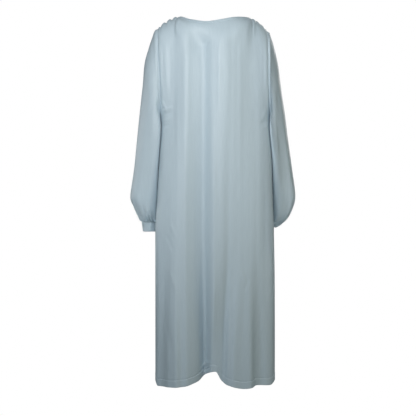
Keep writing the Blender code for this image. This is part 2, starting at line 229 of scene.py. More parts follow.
def side_width(across, drop):
    """How far the body stands out on the side that a place is on."""
    return by_side(across, {side: GIRTH[side](drop) for side in SIGN})


print("back hem at the notch:", round(float(HEM["back"](0.004)), 3), "m down")

# %% [markdown]
# ## Folds that fall from the shoulders
#
# Cloth that hangs free falls in long folds, narrow at the chest and deeper towards
# the hem. Each row below is one fold: where its middle runs at the chest, hip and
# hem, how wide it is, and how far it stands out (or in, where it is negative).
# The broad ones are the solid model's own. The fine ones are the crisp lines that
# run down the crests and valleys, and they are what the light catches on satin.

# %% The folds of the two panels
Fold = namedtuple("Fold", "chest hip hem half_width depth_chest depth_hip depth_hem")
FOLD_CHEST_DROP = 0.15
FOLD_HIP_DROP = 0.75
BROAD_FOLDS = {
    "back": measures(Fold, (
        (-160, -155, -160, 50, -10, -2, 6),
        (-115, -140, -130, 50, 1, 8, 18),
        (-55, -55, -40, 50, -20, -28, -42),
        (15, 15, -10, 45, 9, 7, 3),
        (45, 60, 25, 60, 10, 0, -24),
        (90, 90, 50, 35, 0, -1, 10),
        (150, 160, 170, 50, -12, -10, -22),
    )),
    "front": measures(Fold, (
        (-120, -132, -140, 40, -3, -8, -13),
        (-66, -74, -80, 38, 3, 6, 10),
        (-12, -16, -22, 46, -3, -10, -20),
        (50, 46, 42, 34, 3, 6, 9),
        (98, 104, 108, 40, -4, -10, -16),
        (152, 158, 160, 30, 2, 4, 6),
    )),
}
FINE_FOLDS = {
    "back": measures(Fold, (
        (-185, -175, -190, 26, 1, 3, -13),
        (-160, -150, -140, 20, 0, 4, 5),
        (-130, -130, -130, 20, 0, 6, 8),
        (-100, -105, -100, 26, 5.5, 10, 12),
        (-80, -80, -75, 20, 3.5, 5.5, 3),
        (-58, -55, -40, 30, 8.5, 7, 0),
        (-40, -38, -36, 24, -0.5, -3, -18),
        (-10, 0, -5, 18, 0, 5, -3),
        (16, 5, -5, 12, 2.5, -2, -1),
        (50, 46, 34, 14, 1, -1, -11),
        (80, 80, 55, 16, -1, -1, -5),
        (110, 110, 95, 25, -4, -2, -2),
        (145, 145, 140, 25, 2, 6, 3),
        (162, 164, 168, 20, 1.5, 5, -2),
    )),
    "front": measures(Fold, (
        (-68, -76, -82, 13, 1, 1.8, 2.6),
        (-14, -20, -28, 14, -0.6, -1.4, -2.8),
        (52, 47, 43, 12, 0.8, 1.8, 2.6),
        (100, 106, 110, 12, -0.6, -1.8, -2.4),
        (-124, -135, -142, 14, -0.8, -1.4, -2),
        (16, 14, 10, 14, 0.3, 0.8, 1.4),
    )),
}
BROAD_CALM = 0.12
FINE_FOLDS_FROM = 0.055
FINE_FOLDS_RISE = 0.14


def three_heights(drop, chest, hip, hem):
    """A value that moves softly from its chest to its hip to its hem value."""
    upper = chest + (hip - chest) * ease((drop - FOLD_CHEST_DROP) / (FOLD_HIP_DROP - FOLD_CHEST_DROP))
    lower = hip + (hem - hip) * ease((drop - FOLD_HIP_DROP) / (HEM_DROP - FOLD_HIP_DROP))
    return np.where(drop < FOLD_HIP_DROP, upper, lower)


def fold_height(folds, x, drop):
    """How far a set of folds stands out at each place."""
    total = np.zeros(np.broadcast(x, drop).shape)
    for fold in folds:
        centre = three_heights(drop, fold.chest, fold.hip, fold.hem)
        depth = three_heights(drop, fold.depth_chest, fold.depth_hip, fold.depth_hem)
        total += depth * bell((x - centre) / fold.half_width)
    return total


print("deepest fold of the back hem:", BROAD_FOLDS["back"][2].depth_hem, "m")

# %% [markdown]
# ## The surface of a panel
#
# Below the chest each section of the body is a flattened half oval, swollen by the
# broad folds. Above, the cloth bends over the shoulders, and a Hermite curve carries
# it from the neck or shoulder seam to the chest. The panels could also be lofted
# from drawn sections, but a function lets the mesh be as fine as the creases need.

# %% Body, top edge and yoke
def armhole_height(tip):
    """The drop of an armhole's middle, and half its height, under a shoulder tip's drop."""
    return (tip + UNDERARM_DROP) / 2, (UNDERARM_DROP - tip) / 2


def armhole_reach(face, across, drop):
    """How far the armhole's edge lies from the plane of the seams; 0 below the underarm."""
    middle, half_height = armhole_height(by_side(across, TIP_DROP))
    level = np.clip((drop - middle) / half_height, -1.0, 1.0)
    return ARMHOLE[face] * np.sqrt(1 - level * level)


def body_points(face, across, drop):
    """Points of a panel; across runs from -1 at the left seam to 1 at the right."""
    across, drop = np.broadcast_arrays(across, drop)
    sign = by_side(across, SIGN)
    depth = GIRTH[face](drop)
    edge_angle = np.arccos((armhole_reach(face, across, drop) / depth) ** (1 / FLATNESS))
    angle = np.abs(across) * edge_angle
    x = sign * side_width(across, drop) * np.sin(angle) / np.sin(edge_angle)
    y = depth * np.maximum(np.cos(angle), 0.0) ** FLATNESS
    height = fold_height(BROAD_FOLDS[face], x, drop) * ease((1 - np.abs(across)) / BROAD_CALM)
    shift = (HEM[face](x) - HEM_DROP) * ease((drop - HEM_SHAPED_FROM) / (HEM_DROP - HEM_SHAPED_FROM))
    x = x + height * sign * np.sin(angle)
    y = OUT[face] * (y + height * np.cos(angle))
    return np.stack((x, y, -drop - shift), axis=-1)


def along_shoulder(across):
    """0 on the neck, and from there to 1 at the shoulder's tip."""
    return np.clip((np.abs(across) - NECK_SHARE) / (1 - NECK_SHARE), 0.0, 1.0)


def top_edge(face, across):
    """Where a panel begins: on the neck seam, or on the shoulder seam outside the neck."""
    turn = np.clip(across / NECK_SHARE, -1.0, 1.0) * math.pi / 2
    tip_drop = by_side(across, TIP_DROP)
    tip_x = side_width(across, tip_drop)
    along = along_shoulder(across)
    neck_drop = NECK_DROP[face](np.sin(turn))
    x = NECK_HALF_WIDTH * np.sin(turn) + by_side(across, SIGN) * (tip_x - NECK_HALF_WIDTH) * along
    y = OUT[face] * NECK_REACH[face] * np.maximum(np.cos(turn), 0.0)
    drop = neck_drop + (tip_drop - neck_drop) * along ** SHOULDER_CURVE
    return np.stack((x, y, -drop), axis=-1)


def yoke_points(face, across, down):
    """Points between the top edge (down 0) and the chest (down 1)."""
    top = top_edge(face, across)
    low = body_points(face, across, YOKE_DROP)
    below = body_points(face, across, YOKE_DROP + TANGENT_STEP)
    length = np.linalg.norm(low - top, axis=-1, keepdims=True)
    slope = CENTRE_SLOPE + (SHOULDER_SLOPE - CENTRE_SLOPE) * ease(np.abs(across) / NECK_SHARE)
    flat = np.zeros(np.shape(slope))
    leaving = np.stack((flat, OUT[face] * np.cos(slope), -np.sin(slope)), axis=-1)
    leaving = leaving * length * YOKE_ROUNDNESS
    arriving = unit(below - low) * length
    return hermite(down[..., None], top, leaving, low, arriving)


print("left shoulder tip:", top_edge("back", np.array([-1.0]))[0].round(3))

# %% [markdown]
# ## Creases drawn one by one
#
# Long folds don't make a worn dress on their own. Cloth also drags in short creases
# from the underarms, puckers beside the armholes and buckles a little above the hem.
# Each is drawn as a stroke from one place to another, like a sculptor's thumb mark:
# a soft ridge, or a trough where its height is negative, fading at both ends.

# %% Strokes and slow unevenness
Stroke = namedtuple("Stroke", "x0 drop0 x1 drop1 half_width height")
STROKE_END = 0.35
RIPPLES_ACROSS = (4, 22)
RIPPLES_DOWN = (-1.6, 1.6)
DRIFTS_DOWN = (0.6, 2.0)
DRIFT_SIZE = 0.6
BACK_STROKES = measures(Stroke, (
    # the shoulder's fold beside the left armhole, with its shadow line
    (-176, 80, -168, 320, 11, 1.2),
    (-187, 85, -185, 300, 8, -1),
    (-160, 90, -155, 290, 10, -0.5),
    # short creases dragged in from the left underarm
    (-198, 350, -145, 332, 7, 2.8),
    (-197, 362, -148, 352, 6, -2.6),
    (-198, 386, -150, 370, 7, 2.6),
    (-195, 402, -155, 396, 7, -2),
    (-190, 300, -168, 360, 7, 2.2),
    # the right side stands out beside the armhole and turns to the light
    (160, 70, 158, 270, 16, -1),
    (183, 60, 184, 300, 10, 1.6),
    # the cloth rounds over at the two neck points
    (-138, -20, -134, 90, 14, 3.4),
    (-138, -20, -136, 75, 7, 1.8),
    (140, -20, 136, 95, 14, 3),
    # short creases at the right underarm
    (188, 335, 168, 378, 7, 2.4),
    (198, 370, 162, 394, 7, -2.4),
    (199, 395, 162, 412, 7, 2.2),
    # two crisp ridges that run down to the lifted part of the hem, and the crumple there
    (3, 800, -17, 1560, 10, 4.2),
    (80, 800, 52, 1560, 9, 2.6),
    (-52, 1266, -16, 1236, 6, 2.2),
    (-40, 1276, -14, 1256, 5, -2),
    # small buckles where the cloth swings in at the lower left
    (-158, 745, -136, 805, 10, 1.8),
    (-174, 780, -144, 855, 10, -1.6),
    (-168, 900, -132, 990, 10, 1.8),
    (-150, 960, -150, 1060, 8, -0.7),
    (-172, 1080, -150, 1230, 14, -1.4),
    # and at the lower right
    (94, 900, 114, 985, 9, 1.6),
    (122, 930, 104, 995, 9, -1.4),
))
FRONT_STROKES = measures(Stroke, (
    # beside the armholes
    (-176, 85, -170, 300, 12, 2.6),
    (172, 85, 168, 290, 12, 2.6),
    (-158, 90, -154, 280, 12, -1.6),
    (154, 90, 150, 270, 12, -1.8),
    # dragged in from the underarms
    (-194, 352, -140, 330, 6, 1.8),
    (-193, 374, -146, 362, 6, -1.6),
    (-190, 396, -150, 392, 6, 1.4),
    (198, 356, 142, 332, 6, 1.8),
    (196, 378, 150, 366, 6, -1.6),
    (192, 402, 152, 398, 6, 1.2),
    # from the deep neckline down over the chest
    (-70, 90, -80, 260, 18, -1.8),
    (64, 95, 74, 280, 18, -1.8),
    (-30, 130, 40, 134, 14, -1.2),
    # buckles lower down
    (-158, 760, -136, 830, 9, 1),
    (130, 820, 150, 900, 9, 1),
    (20, 960, 30, 1240, 12, -1.8),
    (-110, 980, -104, 1240, 12, -1.4),
))
STROKES = {"back": BACK_STROKES, "front": FRONT_STROKES}


def stroke_height(strokes, x, drop):
    """How far a set of strokes stands out at each place."""
    total = np.zeros(np.shape(x))
    for stroke in strokes:
        run = np.array((stroke.x1 - stroke.x0, stroke.drop1 - stroke.drop0))
        share = ((x - stroke.x0) * run[0] + (drop - stroke.drop0) * run[1]) / (run @ run)
        near = np.clip(share, 0.0, 1.0)
        away = np.hypot(x - stroke.x0 - near * run[0], drop - stroke.drop0 - near * run[1])
        fade = ease(near / STROKE_END) * ease((1 - near) / STROKE_END)
        total += stroke.height * fade * bell(away / stroke.half_width)
    return total


def unevenness(across, along, seed, height, waves=14):
    """Slow ripples that run mostly down the cloth, from a fixed seed; across and along in metres."""
    draw = np.random.default_rng(seed)
    total = np.zeros(np.shape(across))
    for _ in range(waves):
        turns = draw.uniform(*RIPPLES_ACROSS) * across + draw.uniform(*RIPPLES_DOWN) * along
        phase = draw.uniform(0, 2 * math.pi)
        drift = DRIFT_SIZE * np.sin(2 * math.pi * draw.uniform(*DRIFTS_DOWN) * along + phase)
        total += np.sin(2 * math.pi * turns + phase + drift)
    return height * total / math.sqrt(waves)


print("strokes on the back:", len(BACK_STROKES), "and on the front:", len(FRONT_STROKES))

# %% [markdown]
# ## From a function to a cloth
#
# `bmesh.ops.create_grid` lays out a flat net of faces, as a weaver would, and each of
# its corners is then carried to its place on the dress. Its UV map is written while it
# is still flat, in metres along and across the threads, so that a weave keeps its real
# size on every piece. A Solidify modifier gives the cloth its thickness, inwards.

# %% The cloth maker
SATIN_THICKNESS = 0.0006
WELD_DISTANCE = 1e-6


def from_net(name, bm):
    """Turns a finished net of faces into an object in the scene."""
    mesh = bpy.data.meshes.new(name)
    bm.to_mesh(mesh)
    bm.free()
    return show(name, mesh)


def dress_piece(name, bm):
    """Turns a finished net of faces into a piece of the dress, smoothly shaded."""
    piece = from_net(name, bm)
    piece.data.shade_smooth()
    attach(piece, "root")
    print(name, "has", len(piece.data.polygons), "faces")
    return piece


def closed_up(line):
    """A loop's points with its first once more at the end."""
    return np.concatenate((line, line[:1]))


def read_line(places, known, line):
    """Points along a line at some places, by the places that its own points have."""
    return np.stack([np.interp(places, known, line[:, axis]) for axis in range(3)], axis=-1)


def lengths(points, axis=0):
    """How far each point of a line or a net lies from the first one, along one of its ways."""
    total = np.linalg.norm(np.diff(points, axis=axis), axis=-1).cumsum(axis=axis)
    return np.concatenate((0 * total.take([0], axis=axis), total), axis=axis)


def surface_normals(points, closed):
    """Unit normals of a grid of points, by the turn from across to down."""
    down = np.gradient(points, axis=0)
    if closed:
        across = np.roll(points, -1, axis=1) - np.roll(points, 1, axis=1)
    else:
        across = np.gradient(points, axis=1)
    return unit(np.cross(across, down))


def outward_sign(normals, points, inside):
    """1 if a net's normals point away from the points inside it, -1 if they point in."""
    return 1.0 if (normals * (points - inside)).sum() > 0 else -1.0


def thread_lengths(points, closed):
    """Metres across and down the cloth at each corner of the net, from its middle and its top."""
    if closed:
        points = np.concatenate((points, points[:, :1]), axis=1)
    across = lengths(points, axis=1)
    return across - across[:, -1:] / 2, lengths(points)


def cloth(name, points, inside, closed=False, tube=False, thickness=SATIN_THICKNESS):
    """A piece of cloth through a grid of points, its faces turned away from the points inside."""
    rows, columns = points.shape[:2]
    steps = columns if closed else columns - 1
    lines = rows if tube else rows - 1
    across, down = thread_lengths(points, closed)
    bm = bmesh.new()
    bmesh.ops.create_grid(bm, x_segments=steps, y_segments=lines, size=1.0)
    uv = bm.loops.layers.uv.new("threads")
    place = {}
    for vertex in bm.verts:
        place[vertex] = (round((vertex.co.y + 1) / 2 * lines), round((vertex.co.x + 1) / 2 * steps))
    for face in bm.faces:
        for loop in face.loops:
            row, col = place[loop.vert]
            loop[uv].uv = (across[row % rows, col], down[row % rows, col])
    for vertex, (row, col) in place.items():
        vertex.co = points[row % rows, col % columns]
    if closed or tube:
        bmesh.ops.remove_doubles(bm, verts=bm.verts[:], dist=WELD_DISTANCE)
    if outward_sign(surface_normals(points, closed), points, inside) < 0:
        bmesh.ops.reverse_faces(bm, faces=bm.faces[:])
    piece = dress_piece(name, bm)
    if thickness:
        wall = piece.modifiers.new("thickness", "SOLIDIFY")
        wall.thickness = thickness
        wall.offset = -1.0
    return piece


print("cloth:", SATIN_THICKNESS, "m thick")

# %% [markdown]
# ## The back and front panels
#
# The net is closest where the cloth does most: at the shoulder seams, where the
# gathers pinch, and in the hem. Creases, seams and stitch puckers are added along the
# surface's own normal. The fine folds go straight out of the panel, and the gathers
# lift the cloth upwards. All but the seams' own grooves die away at the side seams, so
# that the neighbours still meet edge to edge.

# %% Rows and columns of a panel
NECK_COLUMNS = 84
SHOULDER_COLUMNS = 33
YOKE_ROWS = 44
BODY_ROWS = 216
HEM_ROWS = 28
HEM_HEIGHT = 0.026
GATHERS_PER_SHOULDER = 3.5
GATHER_HEIGHT = {"left": 0.0046, "right": 0.0016}
GATHER_RUN = 0.060
GATHER_SHARPNESS = 0.7
GATHERS_START = 0.10
GATHERS_END = 0.15
SEAM_GROOVE = {"left": 0.0013, "right": 0.0005}
NECK_GROOVE_SHARE = 0.7
SEAM_HALF_WIDTH = 0.006
NECK_GROOVE_FADE = 0.02
SIDE_CALM = 0.014
TOP_CALM = 0.020
PANEL_RIPPLE = 0.00028
PUCKER_PITCH = 0.0115
PUCKER_HEIGHT = 0.00035
PUCKER_REACH = 0.010
HEM_CREASE_DEPTH = 0.0006
HEM_CREASE_HALF_WIDTH = 0.0035
HEM_STEP_HEIGHT = 0.0005
HEM_STEP_RUN = 0.003
HEM_SIDE_CALM = 0.01
HEM_NET_HEIGHT = 1.6 * HEM_HEIGHT
SEAM_CROWDING = 1.5


def panel_columns():
    """Where a panel's columns run, -1 to 1, closer together towards the side seams."""
    neck = np.linspace(-NECK_SHARE, NECK_SHARE, NECK_COLUMNS + 1)
    to_seam = np.linspace(0, 1, SHOULDER_COLUMNS + 1)[1:]
    shoulder = NECK_SHARE + (1 - NECK_SHARE) * (1 - (1 - to_seam) ** SEAM_CROWDING)
    return np.concatenate((-shoulder[::-1], neck, shoulder))


def panel_base(face):
    """A panel with its broad folds only, as rows of points from the top edge to the hem."""
    across = panel_columns()[None, :]
    yoke = yoke_points(face, across, np.linspace(0, 1, YOKE_ROWS + 1)[:-1, None] + 0 * across)
    hem_start = HEM_DROP - HEM_NET_HEIGHT
    body = np.linspace(YOKE_DROP, hem_start, BODY_ROWS + 1)[:-1, None]
    hem = np.linspace(hem_start, HEM_DROP, HEM_ROWS + 1)[:, None]
    drops = np.concatenate((body, hem))
    return np.concatenate((yoke, body_points(face, across, drops)))


def pinch(turns):
    """A row of round crests with sharp valleys between, one crest a turn, from -1 to 1."""
    return 2 * np.abs(np.sin(math.pi * turns)) ** GATHER_SHARPNESS - 1


def shoulder_gathers(columns, from_top):
    """The small gathers below the shoulder seams, which lift the cloth in scallops."""
    along = along_shoulder(columns)
    fade = ease(along / GATHERS_START) * ease((1 - along) / GATHERS_END)
    wave = pinch(GATHERS_PER_SHOULDER * along)
    return by_side(columns, GATHER_HEIGHT) * wave * fade * bell(from_top / GATHER_RUN)


def panel_points(face, seed):
    """A panel with everything on it."""
    base = panel_base(face)
    columns = panel_columns()[None, :]
    across, down = thread_lengths(base, False)
    from_side = -across[:, :1] - np.abs(across)
    from_hem = down[-1:] - down
    x = base[..., 0]
    drop = -base[..., 2]
    clear = ease(from_side / SIDE_CALM) * ease(down / TOP_CALM)
    folds = fold_height(FINE_FOLDS[face], x, drop) * ease((drop - FINE_FOLDS_FROM) / FINE_FOLDS_RISE)
    height = stroke_height(STROKES[face], x, drop)
    height = (height + unevenness(x, drop, seed, PANEL_RIPPLE)) * clear
    groove = bell(from_side / SEAM_HALF_WIDTH)
    past_neck = ease((np.abs(columns) - NECK_SHARE) / NECK_GROOVE_FADE)
    on_shoulder = NECK_GROOVE_SHARE + (1 - NECK_GROOVE_SHARE) * past_neck
    groove = np.maximum(groove, bell(down / SEAM_HALF_WIDTH) * on_shoulder)
    height = height - by_side(columns, SEAM_GROOVE) * groove
    above = from_hem - HEM_HEIGHT
    pucker = PUCKER_HEIGHT * np.sin(2 * math.pi * across / PUCKER_PITCH) * bell(above / PUCKER_REACH)
    crease = -HEM_CREASE_DEPTH * bell(above / HEM_CREASE_HALF_WIDTH)
    turned_up = HEM_STEP_HEIGHT * ease(-above / HEM_STEP_RUN)
    height = height + (pucker + crease + turned_up) * ease(from_side / HEM_SIDE_CALM)
    normals = surface_normals(base, False)
    normals = normals * np.sign((normals[..., 1] * OUT[face]).sum())
    normals[0, np.abs(columns[0]) >= NECK_SHARE, 1] = 0.0
    normals[:, (0, -1), 1] = 0.0
    points = base + unit(normals) * height[..., None]
    points[..., 1] += OUT[face] * folds * clear
    points[..., 2] += shoulder_gathers(columns, down)
    return points


PANEL = {"back": panel_points("back", 11), "front": panel_points("front", 23)}
back_panel = cloth("back_panel_satin", PANEL["back"], DRESS_MIDDLE)
front_panel = cloth("front_panel_satin", PANEL["front"], DRESS_MIDDLE)
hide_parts("back_panel")
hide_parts("front_panel")

# %% [markdown]
# ## The sleeves
#
# A bishop sleeve is a wide tube, set into the armhole and gathered to a cuff. It is
# swept here through sections that run from an outer point, over the arm, to an inner
# point by the body. Its first section is the armhole's own edge. Long folds come down
# from the shoulder, and near the cuff the cloth breaks into the gathers.

# %% Sections of the sleeves
Ring = namedtuple("Ring", "outer_drop outer inner_drop inner forward half_depth turn")
RINGS = {
    "left": measures(Ring, (
        (47.5, 214.5, 390.5, 196.2, 0, 66, 0),
        (70, 224.5, 397, 197, 2, 68, 2),
        (110, 239, 408, 197.5, 5, 70, 5),
        (170, 254.5, 425, 198.5, 11, 72, 10),
        (250, 262.5, 450, 199.5, 21, 77, 16),
        (345, 273.3, 485, 201, 34, 83, 20),
        (450, 285, 535, 203.5, 50, 90, 20),
        (550, 295.7, 595, 206.5, 65, 95, 16),
        (650, 309.6, 655, 209.5, 80, 97.5, 12),
        (690, 295.1, 697, 211.5, 86, 90, 8),
        (722, 280, 724, 211, 89, 72, 4),
        (743.7, 268, 743.7, 207, 90, 45, 0),
    )),
    "right": measures(Ring, (
        (56.5, 199, 390.5, 202.2, 0, 66, 0),
        (75, 205.5, 397, 203, 2, 68, 4),
        (105, 216, 408, 203.8, 5, 70, 10),
        (160, 230.5, 425, 205, 12, 73, 18),
        (235, 240.8, 450, 206.8, 22, 78, 25),
        (335, 256.3, 485, 208.8, 36, 85, 28),
        (440, 270.3, 535, 210.2, 53, 92, 25),
        (550, 286.4, 595, 211.8, 68, 98, 20),
        (650, 299, 655, 213.2, 84, 100, 14),
        (702, 286.5, 702, 216.5, 98, 94, 10),
        (738, 264.5, 738, 207, 116, 80, 6),
        (753, 246.5, 753, 189, 130, 64, 3),
        (764, 223, 764, 162.5, 140, 45, 0),
    )),
}
SLEEVE_COLUMNS = 160
SLEEVE_ROWS = 210
CUFF_END_ROWS = 40
CUFF_END = 0.065
ARMHOLE_STEPS = 4
BODY_CLEARANCE = 0.001
CAP_RIDGE = {"left": 0.0010, "right": 0.0002}
HUG_FROM = 0.320
HUG_RUN = 0.075
HUG_ANGLE = 160
HUG_HALF_ANGLE = 62
HUG_EDGE = 0.04
SLEEVE_SQUARENESS = 0.7
EVEN_RING = 6
ROUND_END_RINGS = 3
LENGTH_STEPS = 800


def armhole_edge(side, angles):
    """The panels' armhole edge, read at even angles round the sleeve."""
    column_index = 0 if side == "left" else -1
    middle, half_height = armhole_height(TIP_DROP[side])
    drop = middle - half_height * np.cos(angles)
    edge = np.zeros((len(angles), 3))
    for face, here in (("back", angles <= math.pi), ("front", angles > math.pi)):
        line = PANEL[face][:, column_index]
        edge[here] = read_line(drop[here], -line[:, 2], line)
    return edge


def sleeve_sections(side):
    """What the rings say, at even steps along the sleeve, and how far along each step lies."""
    rings = RINGS[side]
    number = np.arange(len(rings))
    read = {name: curve(number, [getattr(ring, name) for ring in rings]) for name in Ring._fields}
    fine = np.linspace(0, number[-1], LENGTH_STEPS)
    centre_x = (read["outer"](fine) + read["inner"](fine)) / 2
    centre_drop = (read["outer_drop"](fine) + read["inner_drop"](fine)) / 2
    step = np.hypot(np.hypot(np.diff(centre_x), np.diff(centre_drop)), np.diff(read["forward"](fine)))
    length = np.concatenate(([0.0], step.cumsum()))
    upper = np.linspace(0, length[-1] - CUFF_END, SLEEVE_ROWS + 1)[:-1]
    lower = np.linspace(length[-1] - CUFF_END, length[-1], CUFF_END_ROWS + 1)
    along = np.concatenate((upper, lower))
    at = np.interp(along, length, fine)
    values = {name: function(at)[:, None] for name, function in read.items()}
    squareness = ease(at / EVEN_RING) * ease((number[-1] - at) / ROUND_END_RINGS)
    values["power"] = 1 + (SLEEVE_SQUARENESS - 1) * squareness[:, None]
    return values, along


def squared(values, power):
    """Sines or cosines raised to a power, which makes the oval that they draw squarer."""
    return np.sign(values) * np.abs(values) ** power


def lie_on_body(side, points, hug):
    """Lets a sleeve rest on the body's side: never inside it, and close to it where hug is 1."""
    drop = -points[..., 2]
    face_depth = np.where(points[..., 1] < 0, GIRTH["back"](drop), GIRTH["front"](drop))
    width = GIRTH[side](drop) + BODY_CLEARANCE
    level = np.minimum(np.abs(points[..., 1]) / (face_depth + 2 * BODY_CLEARANCE), 1.0) ** (1 / FLATNESS)
    body_side = width * np.sqrt(1 - level * level)
    x = np.abs(points[..., 0])
    inside_face = face_depth - np.abs(points[..., 1])
    hug = hug * ease((drop - HUG_FROM) / HUG_RUN) * ease(inside_face / HUG_EDGE)
    x = np.where(x > body_side, body_side + (x - body_side) * (1 - hug), x)
    x = np.where(drop < UNDERARM_DROP, x, np.maximum(x, body_side))
    points[..., 0] = SIGN[side] * x
    return points


print("sleeve net:", SLEEVE_COLUMNS, "by", SLEEVE_ROWS + CUFF_END_ROWS + ARMHOLE_STEPS)

# %% [markdown]
# A sleeve's own folds run round it by angle: 0 is the outside of the arm, 90 the side
# that faces the back, 180 the side by the body, and 270 the front. `starts` says how far
# down the sleeve a fold begins, and by FOLDS_SETTLED it has reached its low place. A
# gather at the cuff is a round crest with a tight valley beside it. No two are alike, so
# their spacing, height and length up the arm all wander.

# %% Folds and gathers of the sleeves
ArmFold = namedtuple("ArmFold", "top low half_angle height_top height_low starts")
ARM_FOLDS = {
    "left": table(ArmFold, (
        (132, 104, 24, 0.0022, 0.0030, 0.02),
        (100, 80, 20, -0.0010, -0.0026, 0.16),
        (60, 52, 26, -0.0026, 0.0026, 0.06),
        (148, 142, 24, 0.0020, 0.0044, 0.10),
        (28, 24, 18, 0.0008, -0.0018, 0.10),
        (215, 222, 22, 0.0030, 0.0045, 0.04),
        (245, 250, 16, -0.0030, -0.0055, 0.12),
        (282, 280, 20, 0.0030, 0.0050, 0.08),
        (312, 306, 16, -0.0030, -0.0045, 0.12),
    )),
    "right": table(ArmFold, (
        (60, 52, 24, 0.0018, 0.0028, 0.06),
        (88, 80, 20, -0.0014, -0.0026, 0.10),
        (112, 108, 18, 0.0012, 0.0024, 0.10),
        (34, 28, 16, -0.0010, -0.0016, 0.12),
        (140, 138, 18, -0.0014, -0.0030, 0.10),
        (218, 222, 22, 0.0030, 0.0045, 0.04),
        (248, 250, 16, -0.0030, -0.0055, 0.12),
        (284, 280, 20, 0.0030, 0.0050, 0.08),
        (314, 306, 16, -0.0030, -0.0045, 0.12),
    )),
}
FOLDS_SETTLED = {"left": 0.72, "right": 0.74}
CUFF_GATHERS = 17
GATHER_DEPTH = 0.0054
GATHER_UP_ARM = 0.042
CUFF_SEAM_RUN = 0.009
CUFF_SEAM_SHARE = 0.2
GATHER_WANDER = (0.15, 0.34)
SIZE_CHANGE = (0.12, 0.28)
REACH_CHANGE = (0.14, 0.30)
GATHER_FALL = 1.3
ARM_FOLD_RISE = 0.10
SLEEVE_RIPPLE = 0.00040
ARMHOLE_LEAD = 0.006
CAP_CALM = 0.03
CAP_RIDGE_AT = 0.012
CAP_RIDGE_HALF_WIDTH = 0.011
FOLDS_FADE = 0.05
RIPPLE_FADE = 0.03
EDGE_CALM = 0.004


def arm_fold_height(side, angles, along):
    """How far the long folds of a sleeve stand out."""
    total = np.zeros(np.broadcast(angles, along).shape)
    degrees = np.degrees(angles)
    for fold in ARM_FOLDS[side]:
        share = ease((along - fold.starts) / (FOLDS_SETTLED[side] - fold.starts))
        middle = fold.top + (fold.low - fold.top) * share
        height = fold.height_top + (fold.height_low - fold.height_top) * share
        away = (degrees - middle + 180) % 360 - 180
        total += height * ease((along - fold.starts) / ARM_FOLD_RISE) * bell(away / fold.half_angle)
    return total


def cuff_gather_height(angles, to_cuff, seed):
    """The gathers above a cuff: uneven crests and valleys that die out up the arm."""
    draw = np.random.default_rng(seed)

    def wave(waves, sizes):
        return draw.uniform(*sizes) * np.sin(waves * angles + draw.uniform(0, 2 * math.pi))

    turns = CUFF_GATHERS * angles / (2 * math.pi)
    for waves in (2, 3, 5, 7):
        turns = turns + wave(waves, GATHER_WANDER)
    size = 1.0
    reach = 1.0
    for waves in (2, 5, 9):
        size = size + wave(waves, SIZE_CHANGE)
        reach = reach + wave(waves, REACH_CHANGE)
    rise = ease(to_cuff / CUFF_SEAM_RUN) * (1 - CUFF_SEAM_SHARE) + CUFF_SEAM_SHARE
    fall = np.exp(-((to_cuff / (GATHER_UP_ARM * reach)) ** GATHER_FALL))
    return GATHER_DEPTH * size * pinch(turns) * rise * fall


def sleeve_points(side, seed):
    """A sleeve with everything on it, from the armhole to the cuff."""
    ring, along = sleeve_sections(side)
    angles = (np.arange(SLEEVE_COLUMNS) * 2 * math.pi / SLEEVE_COLUMNS)[None, :]
    sign = SIGN[side]
    ahead = ring["forward"] + ring["turn"]
    behind = ring["forward"] - ring["turn"]
    outer = np.concatenate((sign * ring["outer"], ahead, -ring["outer_drop"]), axis=1)[:, None]
    inner = np.concatenate((sign * ring["inner"], behind, -ring["inner_drop"]), axis=1)[:, None]
    middle = (outer + inner) / 2
    arm = (outer - middle) * squared(np.cos(angles), ring["power"])[..., None]
    depth = np.zeros(arm.shape)
    depth[..., 1] = -ring["half_depth"] * squared(np.sin(angles), ring["power"])
    base = middle + arm + depth
    edge = armhole_edge(side, angles[0])
    blend = ease(np.arange(ARMHOLE_STEPS) / ARMHOLE_STEPS)[:, None, None]
    base = np.concatenate((edge + (base[:1] - edge) * blend, base))
    lead = np.linspace(-ARMHOLE_LEAD, 0, ARMHOLE_STEPS + 1)[:-1]
    along = np.concatenate((lead, along))[:, None] + ARMHOLE_LEAD
    to_cuff = along[-1] - along
    across = thread_lengths(base, True)[0][:, :-1]
    height = arm_fold_height(side, angles, along) * ease(to_cuff / FOLDS_FADE)
    height = height + unevenness(across, along, seed, SLEEVE_RIPPLE) * ease(to_cuff / RIPPLE_FADE)
    height = height * ease(along / CAP_CALM)
    height = height + cuff_gather_height(angles, to_cuff, seed)
    height = height + CAP_RIDGE[side] * bell((along - CAP_RIDGE_AT) / CAP_RIDGE_HALF_WIDTH)
    normals = surface_normals(base, True)
    normals = normals * outward_sign(normals, base, middle.mean(axis=0))
    normals[-1, :, 2] = 0.0
    points = base + unit(normals) * (height * ease(along / EDGE_CALM))[..., None]
    hug = bell((np.degrees(angles) - HUG_ANGLE) / HUG_HALF_ANGLE)
    points[ARMHOLE_STEPS:] = lie_on_body(side, points[ARMHOLE_STEPS:], hug)
    return points


def middles(points):
    """The middle of each ring of a tube."""
    return points.mean(axis=1, keepdims=True)


left_net = sleeve_points("left", 5)
right_net = sleeve_points("right", 8)
left_sleeve = cloth("left_sleeve_satin", left_net, middles(left_net), closed=True)
right_sleeve = cloth("right_sleeve_satin", right_net, middles(right_net), closed=True)
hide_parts("left_sleeve")
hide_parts("right_sleeve")

# %% [markdown]
# ## The cuffs
#
# A cuff is a straight band, folded double, that holds the gathers. Doubled cloth is
# stiffer, so it stays a plain ring with soft waves in it, its two long edges rolled.

